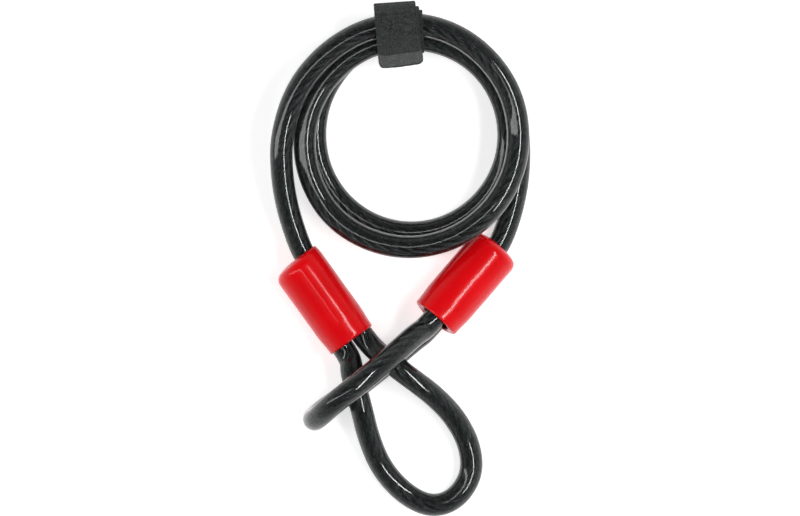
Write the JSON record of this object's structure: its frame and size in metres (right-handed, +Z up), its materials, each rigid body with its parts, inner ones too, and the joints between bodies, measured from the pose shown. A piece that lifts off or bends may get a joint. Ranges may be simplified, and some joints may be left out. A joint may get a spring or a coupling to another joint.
{
  "type": "cable lock",
  "caption": "Coiled steel security cable with dark clear sheath, an eye loop and red sleeve at each end, tied by a hook-and-loop strap",
  "frame": {"origin": "centre of the coil, on the plane that the coiled cable lies on", "axes": "+Z up through the coil, +Y from the eyes towards the strap, +X to the right seen from above"},
  "size_m": [0.1258, 0.249, 0.0561],
  "materials": {
    "sheath": "smoked clear PVC, glossy, the laid rope just visible through it",
    "wire_rope": "bright laid steel wire",
    "ferrule": "pressed, with three crimp bands",
    "cover": "glossy moulded soft PVC, red",
    "strap_tape": "woven nylon loop tape, matt, dark grey",
    "strap_hooks": "moulded nylon hooks, dark grey"
  },
  "bodies": {
    "coil": {"coil_sheath": "sheath", "coil_wire_rope": "wire_rope", "strap_inner_turn": "strap_tape", "strap_middle_turn": "strap_tape", "strap_outer_turn": "strap_tape"},
    "flap": {"strap_flap": "strap_tape", "strap_flap_hooks": "strap_hooks"},
    "left_sleeve_body": {"left_lead_sheath": "sheath", "left_lead_wire_rope": "wire_rope", "left_root_sheaths": "sheath", "left_tail_rope": "wire_rope", "left_ferrule": "ferrule", "left_cover": "cover"},
    "left_eye": {"left_loop_sheath": "sheath", "left_loop_wire_rope": "wire_rope"},
    "right_sleeve_body": {"right_lead_sheath": "sheath", "right_lead_wire_rope": "wire_rope", "right_root_sheaths": "sheath", "right_tail_rope": "wire_rope", "right_ferrule": "ferrule", "right_cover": "cover"},
    "right_eye": {"right_loop_sheath": "sheath", "right_loop_wire_rope": "wire_rope"}
  },
  "joints": [
    {"name": "strap_flap_peel", "type": "hinge", "parent": "coil", "child": "flap", "pos_m": [-0.00907, 0.06245, 0.03705], "axis": [-0.9976, -0.0698, 0], "range_deg": [0, 110]},
    {"name": "left_sleeve_flex", "type": "hinge", "parent": "coil", "child": "left_sleeve_body", "pos_m": [-0.0583, -0.0405, 0.0154], "axis": [-1, 0, 0], "range_deg": [0, 5], "stiffness_Nm_per_rad": 0.6},
    {"name": "right_sleeve_flex", "type": "hinge", "parent": "coil", "child": "right_sleeve_body", "pos_m": [0.04725, -0.039, 0.0057], "axis": [-1, 0, 0], "range_deg": [0, 5], "stiffness_Nm_per_rad": 0.6},
    {"name": "left_eye_flex", "type": "hinge", "parent": "left_sleeve_body", "child": "left_eye", "pos_m": [-0.02812, -0.09972, 0.0128], "axis": [-0.8118, -0.5839, 0], "range_deg": [0, 8], "stiffness_Nm_per_rad": 1},
    {"name": "right_eye_flex", "type": "hinge", "parent": "right_sleeve_body", "child": "right_eye", "pos_m": [0.00991, -0.08944, 0.01962], "axis": [0.0113, 0.1731, 0.9848], "range_deg": [-3, 5], "stiffness_Nm_per_rad": 1}
  ],
  "couplings": [
    {"joint": "right_sleeve_flex", "follows": "left_sleeve_flex", "ratio": 1}
  ]
}
